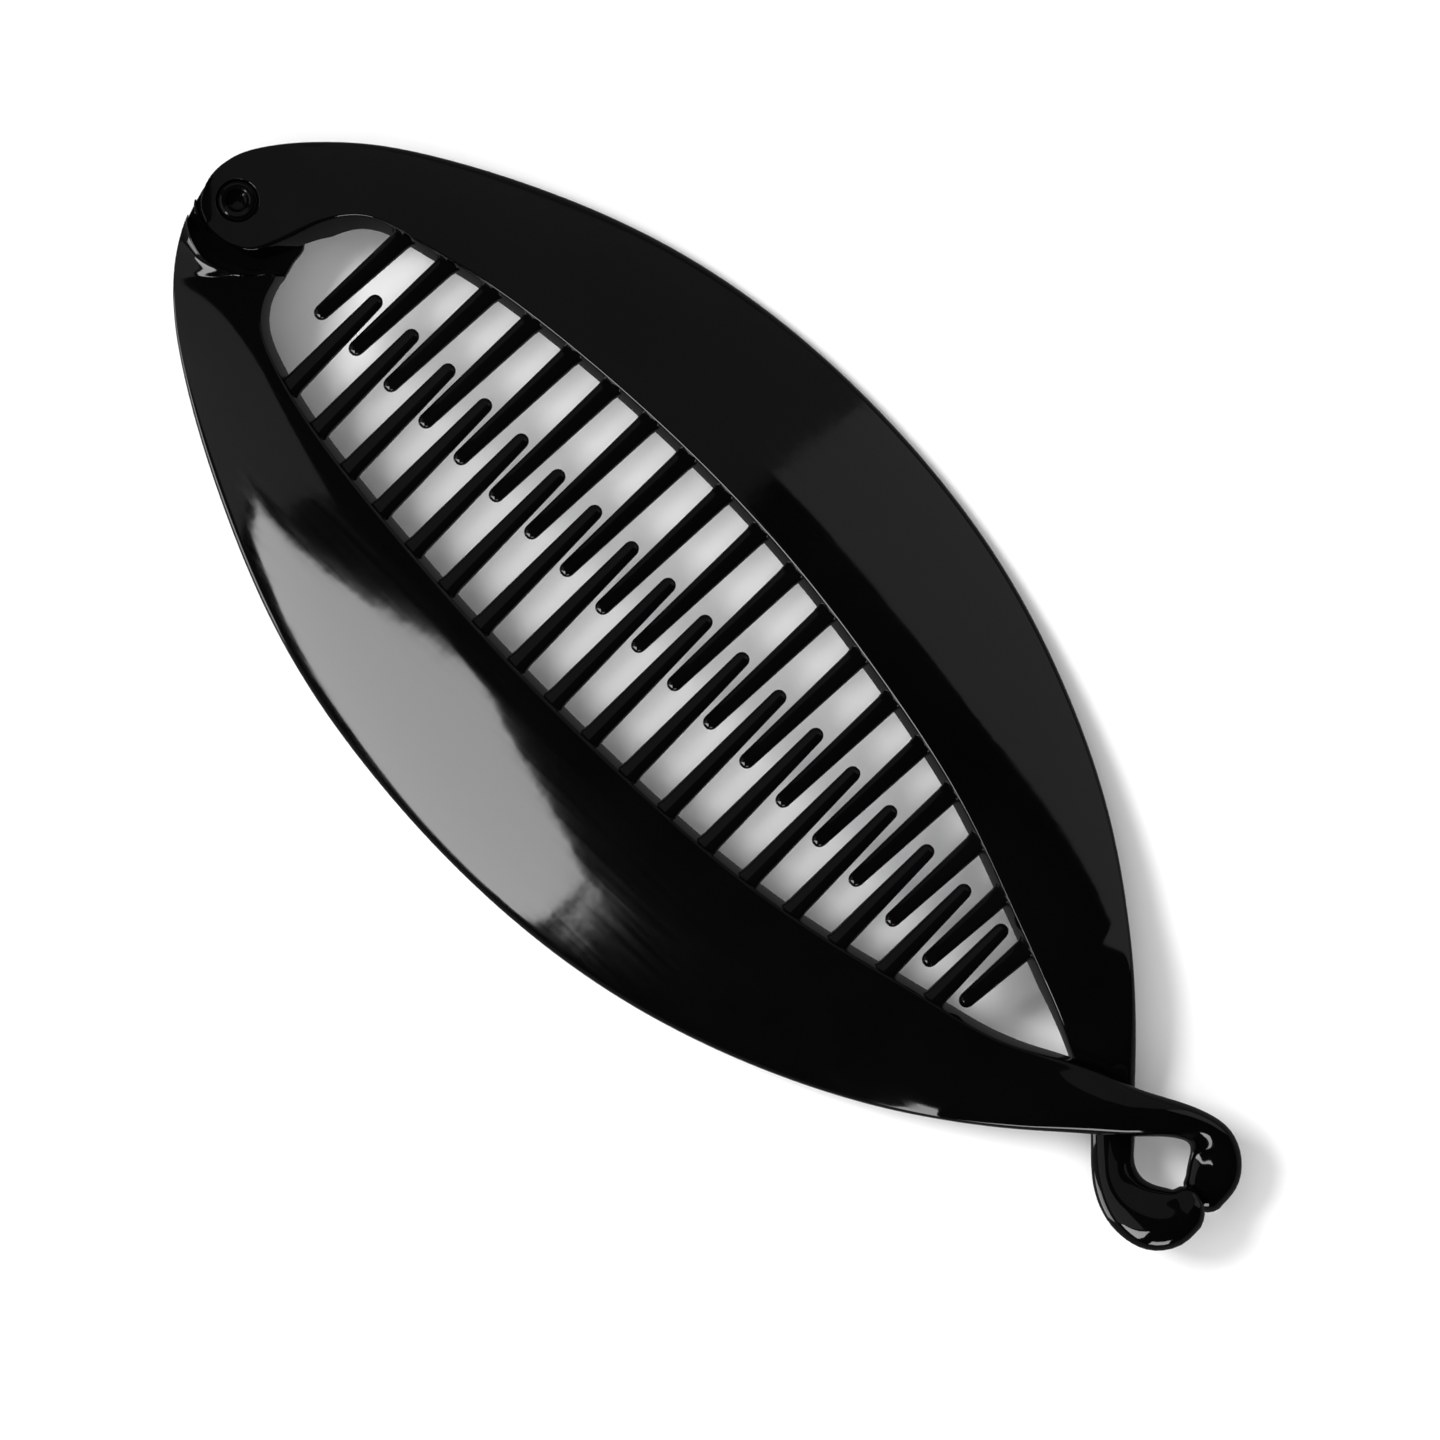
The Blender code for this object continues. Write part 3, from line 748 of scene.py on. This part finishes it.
def floor_material():
    """White table top, almost even."""
    material = bpy.data.materials.new("table_white")
    material.use_nodes = True
    nodes = material.node_tree.nodes
    links = material.node_tree.links
    shader = nodes["Principled BSDF"]
    shader.inputs["Roughness"].default_value = 0.6
    shader.inputs["Specular IOR Level"].default_value = 0.2
    noise = nodes.new("ShaderNodeTexNoise")
    noise.inputs["Scale"].default_value = TABLE_SCALE
    ramp = nodes.new("ShaderNodeValToRGB")
    ramp.color_ramp.elements[0].color = (TABLE_DARK, TABLE_DARK, TABLE_DARK, 1.0)
    ramp.color_ramp.elements[1].color = (TABLE_LIGHT, TABLE_LIGHT, TABLE_LIGHT, 1.0)
    links.new(noise.outputs["Fac"], ramp.inputs["Fac"])
    links.new(ramp.outputs["Color"], shader.inputs["Base Color"])
    return material


# ---------------------------------------------------------------- build
BLACK = (0.0011, 0.0011, 0.0012)
upper_plastic = plastic("upper_jaw_plastic", BLACK, roughness=0.07, variation=0.02)
lower_plastic = plastic("lower_jaw_plastic", BLACK, roughness=0.07, variation=0.02)
pin_plastic = plastic("pin_plastic", BLACK, roughness=0.16, variation=0.04)

upper_wing = jaw_rings(UPPER_JAW, lobe=(LOBE_BOTTOM, LOBE_TOP))
upper_jaw = ring_object("upper_jaw_moulding", [upper_wing], upper_plastic)
cut_recess(upper_jaw)
upper_comb = comb(UPPER_JAW, FIRST_UPPER_TOOTH_X, UPPER_TEETH, towards=-1.0,
                  tip_line=UPPER_TIP_LINE, lean=UPPER_TOOTH_LEAN)
join_into(upper_jaw, ring_object("upper_comb", upper_comb, upper_plastic))
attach(upper_jaw, "upper_jaw")
upper_nodes = [n for n in frame["nodes"] if n.startswith("upper_")]
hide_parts(*upper_nodes)

lower_bodies = [jaw_rings(LOWER_JAW, lobe=None), knuckle_rings(), ridge_rings()]
lower_bodies += comb(LOWER_JAW, FIRST_LOWER_TOOTH_X, LOWER_TEETH, towards=1.0,
                     tip_line=LOWER_TIP_LINE, lean=0.0)
lower_jaw = ring_object("lower_jaw_moulding", lower_bodies, lower_plastic)
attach(lower_jaw, "lower_jaw")
lower_nodes = [n for n in frame["nodes"] if n.startswith("lower_")]
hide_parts(*lower_nodes)

hinge_pin = ring_object("hinge_pin_rivet", [lathe(pin_profile())], pin_plastic)
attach(hinge_pin, "lower_jaw")
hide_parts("hinge_pin")

# ---------------------------------------------------------------- floor, lights, camera
TABLE_SIZE = 6.0
CARD_DISTANCE = 1.0
CAMERA_TURN = math.radians(44.66)
IMAGE_RIGHT = Vector((math.cos(CAMERA_TURN), math.sin(CAMERA_TURN), 0.0))
IMAGE_UP = Vector((-math.sin(CAMERA_TURN), math.cos(CAMERA_TURN), 0.0))

bpy.ops.mesh.primitive_plane_add(size=TABLE_SIZE, location=(0.0, 0.0, 0.0))
floor = bpy.context.object
floor.name = "table"
floor.data.materials.append(floor_material())
floor.visible_glossy = False


def softbox(name, right, up, height, size, power):
    """Area light placed by the picture's own right and up, facing the clip, not mirrored in it."""
    light = bpy.data.lights.new(name, "AREA")
    light.shape = "RECTANGLE"
    light.size, light.size_y = size
    light.energy = power
    lamp = bpy.data.objects.new(name, light)
    lamp.location = IMAGE_RIGHT * right + IMAGE_UP * up + Vector((0.0, 0.0, height))
    facing = -lamp.location
    lamp.rotation_euler = facing.to_track_quat("-Z", "Y").to_euler()
    lamp.visible_glossy = False
    bpy.context.scene.collection.objects.link(lamp)


def reflector(name, corners, radiance):
    """Card that only shows as a reflection, between directions (azimuth, height) in degrees.

    Azimuth 0 is the picture's right and 90 its top.
    """
    points = []
    for azimuth, height in corners:
        turn = math.radians(azimuth)
        rise = math.radians(height)
        level = IMAGE_RIGHT * math.cos(turn) + IMAGE_UP * math.sin(turn)
        towards = level * math.cos(rise) + Vector((0.0, 0.0, math.sin(rise)))
        points.append(towards * CARD_DISTANCE)
    mesh = bpy.data.meshes.new(name)
    mesh.from_pydata(points, [], [tuple(range(len(points)))])
    material = bpy.data.materials.new(name)
    material.use_nodes = True
    nodes = material.node_tree.nodes
    nodes.clear()
    glow = nodes.new("ShaderNodeEmission")
    glow.inputs["Strength"].default_value = radiance
    output = nodes.new("ShaderNodeOutputMaterial")
    material.node_tree.links.new(glow.outputs["Emission"], output.inputs["Surface"])
    mesh.materials.append(material)
    card = bpy.data.objects.new(name, mesh)
    card.visible_camera = False
    card.visible_diffuse = False
    card.visible_shadow = False
    bpy.context.scene.collection.objects.link(card)


# The small key casts the sharper shadow, and the wide sky lights the table.
softbox("key", right=-0.78, up=0.30, height=1.3, size=(0.42, 0.42), power=15.0)
softbox("sky", right=-0.32, up=-0.28, height=1.5, size=(3.2, 3.2), power=54.0)

# Bright cards: a leaf for the lower jaw's long reflection, a spark, one for the
# rims and, below the table's level, one that only steep faces can show.
reflector("card_leaf", [(-154, 6), (-154, 13), (-151, 19), (-148, 26), (-145, 34), (-142, 47), (-140, 47),
                        (-138, 43), (-134, 35), (-130, 26), (-129.4, 12), (-130, 7)], radiance=7.5)
reflector("card_spark", [(120, 30), (120, 41), (134, 41), (134, 30)], radiance=6.0)
reflector("card_rim", [(-111, 4), (-111, 20), (-82, 20), (-82, 4)], radiance=6.5)
reflector("card_low_left", [(-176, -34), (-176, -12), (-152, -12), (-152, -34)], radiance=3.0)

# Dim cards: the grey sheen on the upper wing and round the hinge.
reflector("card_upper_wing", [(46, -2), (46, 39), (39, 39), (30, 36), (21, 28), (8, 18), (8, -2)],
          radiance=0.40)
reflector("card_upper_hinge", [(46, -2), (140, -2), (90, 90)], radiance=0.14)
reflector("card_hinge_side", [(-155, 0), (-155, 14), (-152, 22), (-150, 44), (-175, 46), (160, 40),
                              (160, 0)], radiance=0.36)

# World: nearly black in reflections, a little brighter below the horizon, and
# pale to the camera, where a low view looks past the table's edge.
WORLD_FADE = 0.15
WORLD_BELOW = 0.10
WORLD_ABOVE = 0.01
WORLD_TO_CAMERA = 0.85

world = bpy.data.worlds.new("studio")
world.use_nodes = True
world_nodes = world.node_tree.nodes
world_links = world.node_tree.links
direction = world_nodes.new("ShaderNodeTexCoord")
split = world_nodes.new("ShaderNodeSeparateXYZ")
world_links.new(direction.outputs["Generated"], split.inputs["Vector"])
horizon = world_nodes.new("ShaderNodeMapRange")
horizon.inputs["From Min"].default_value = -WORLD_FADE
horizon.inputs["From Max"].default_value = 0.0
horizon.inputs["To Min"].default_value = WORLD_BELOW
horizon.inputs["To Max"].default_value = WORLD_ABOVE
world_links.new(split.outputs["Z"], horizon.inputs["Value"])
rays = world_nodes.new("ShaderNodeLightPath")
pale = world_nodes.new("ShaderNodeMix")
pale.data_type = "FLOAT"
# Inputs of the float mix: 0 is its share, 2 and 3 are what it mixes
pale.inputs[3].default_value = WORLD_TO_CAMERA
world_links.new(rays.outputs["Is Camera Ray"], pale.inputs[0])
world_links.new(horizon.outputs["Result"], pale.inputs[2])
world_links.new(pale.outputs[0], world_nodes["Background"].inputs["Strength"])
world_nodes["Background"].inputs["Color"].default_value = (1.0, 1.0, 1.0, 1.0)
bpy.context.scene.world = world
bpy.context.scene.view_settings.view_transform = "Standard"

# Camera straight above with a long lens, turned so that the clip lies on the
# picture's diagonal
LENS = 300.0
SENSOR_WIDTH = 36.0
CAMERA_FAR = 20.0
VIEW_CENTRE = (0.00239, -0.00213)
VIEW_WIDTH = 0.14938
VIEW_HEIGHT = 0.010

camera_data = bpy.data.cameras.new("camera")
camera_data.lens = LENS
camera_data.sensor_width = SENSOR_WIDTH
camera_data.clip_end = CAMERA_FAR
camera = bpy.data.objects.new("camera", camera_data)
camera.location = (*VIEW_CENTRE, VIEW_HEIGHT + VIEW_WIDTH * LENS / SENSOR_WIDTH)
camera.rotation_euler = (0.0, 0.0, CAMERA_TURN)
bpy.context.scene.collection.objects.link(camera)
bpy.context.scene.camera = camera
